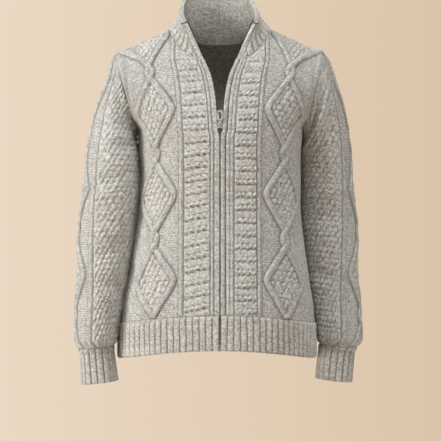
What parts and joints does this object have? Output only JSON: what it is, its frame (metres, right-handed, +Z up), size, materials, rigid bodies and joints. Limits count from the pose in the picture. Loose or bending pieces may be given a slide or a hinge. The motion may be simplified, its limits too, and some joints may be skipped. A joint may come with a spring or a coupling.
{
  "type": "cable knit zip sweater",
  "caption": "Long-sleeved cable knit sweater in worn, hollow form, with a rib stand collar, rib hem and cuffs, and a front zip open at the neck.",
  "frame": {"origin": "middle of the neck opening at the height of the side neck points, where the wearer's shoulders carry the garment", "axes": "+Z up, -Y out of the garment's front, +X to the wearer's left"},
  "size_m": [0.5468, 0.275, 0.7382],
  "materials": {
    "marl_knit": "heathered grey-beige wool, matte",
    "marl_rib": "heathered grey-beige wool rib, matte",
    "zip_tape_cloth": "woven tape, matte",
    "dark_metal": "dark gunmetal"
  },
  "bodies": {
    "sweater": {"front_left": "marl_knit", "front_right": "marl_knit", "back": "marl_knit", "sleeve_left": "marl_knit", "sleeve_right": "marl_knit", "hem_front_left": "marl_rib", "hem_front_right": "marl_rib", "hem_back": "marl_rib", "cuff_left": "marl_rib", "cuff_right": "marl_rib", "collar": "marl_rib", "zip_tape_left": "zip_tape_cloth", "zip_tape_right": "zip_tape_cloth", "zip_slider": "dark_metal", "zip_box": "dark_metal"},
    "pull": {"zip_pull": "dark_metal"}
  },
  "joints": [
    {"name": "pull_swing", "type": "hinge", "parent": "sweater", "child": "pull", "pos_m": [0, -0.1254, -0.1817], "axis": [1, 0, 0], "range_deg": [0, 188]}
  ]
}
